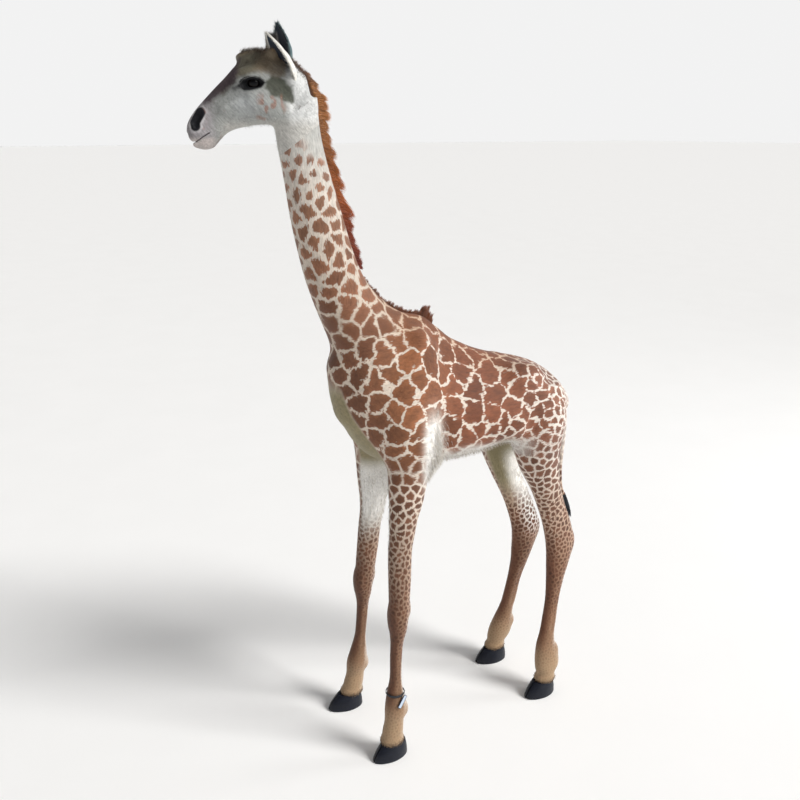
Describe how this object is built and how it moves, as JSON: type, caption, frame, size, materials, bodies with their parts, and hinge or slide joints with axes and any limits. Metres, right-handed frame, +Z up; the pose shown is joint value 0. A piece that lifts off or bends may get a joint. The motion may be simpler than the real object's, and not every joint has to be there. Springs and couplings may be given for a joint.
{
  "type": "giraffe calf mount",
  "caption": "Life-size standing giraffe calf mount: patterned hide over foam forms on bent steel rods, with hooves, glass eyes, ears, mane and tail tuft.",
  "frame": {"origin": "on the floor, at the middle of the whole model's footprint box", "axes": "+Z up, the animal faces -Y, its left side is +X"},
  "size_m": [0.3197, 1.1001, 1.8565],
  "materials": {
    "foam": "rigid polyurethane foam, light tan",
    "hide_body": "short hair, brick-brown patches on a cream net",
    "hide_neck": "short hair, brown patches on cream",
    "hide_head": "short grey-white hair, darker bridge of the nose",
    "hide_leg": "short hair, small red-brown spots fading to tan",
    "hide_tail": "short brown hair",
    "hoof_horn": "polished blue-black horn",
    "eye_glass": "black glass",
    "eye_rim": "dark modelled lid",
    "ear_skin": "white short hair",
    "ear_dark": "dark navy inner ear",
    "horn_hair": "dark tufted hair",
    "mane_hair": "stiff orange-brown hair",
    "withers_hair": "dark red-brown hair",
    "tuft_hair": "long black hair",
    "steel": "bare mild steel rod",
    "zinc": "zinc-plated steel",
    "plywood": "birch plywood",
    "band": "dark strap",
    "tag": "pale blank plastic tag with a dark edge"
  },
  "bodies": {
    "root": {"form_torso_left": "foam", "form_torso_right": "foam", "form_neck": "foam", "form_head": "foam", "form_leg_front_left": "foam", "form_leg_front_right": "foam", "form_leg_hind_left": "foam", "form_leg_hind_right": "foam", "hide_torso": "hide_body", "hide_neck": "hide_neck", "hide_head": "hide_head", "hide_leg_front_left": "hide_leg", "hide_leg_front_right": "hide_leg", "hide_leg_hind_left": "hide_leg", "hide_leg_hind_right": "hide_leg", "hide_tail": "hide_tail", "hoof_front_left": "hoof_horn", "hoof_front_right": "hoof_horn", "hoof_hind_left": "hoof_horn", "hoof_hind_right": "hoof_horn", "eye_left": "eye_glass", "eye_right": "eye_glass", "eye_rim_left": "eye_rim", "eye_rim_right": "eye_rim", "ear_left": "ear_skin", "ear_right": "ear_skin", "ear_liner_left": "ear_dark", "ear_liner_right": "ear_dark", "ossicone_left": "horn_hair", "ossicone_right": "horn_hair", "mane": "mane_hair", "withers_tuft": "withers_hair", "tail_wire": "steel", "tail_tuft": "tuft_hair", "leg_rod_front_left": "steel", "leg_rod_front_right": "steel", "leg_rod_hind_left": "steel", "leg_rod_hind_right": "steel", "sole_sockets": "zinc", "centre_board": "plywood", "rod_clamps": "zinc", "clamp_bolts": "zinc", "neck_rod": "steel", "neck_socket": "zinc", "head_block": "plywood", "leg_band": "band", "leg_tag": "tag"}
  },
  "joints": []
}
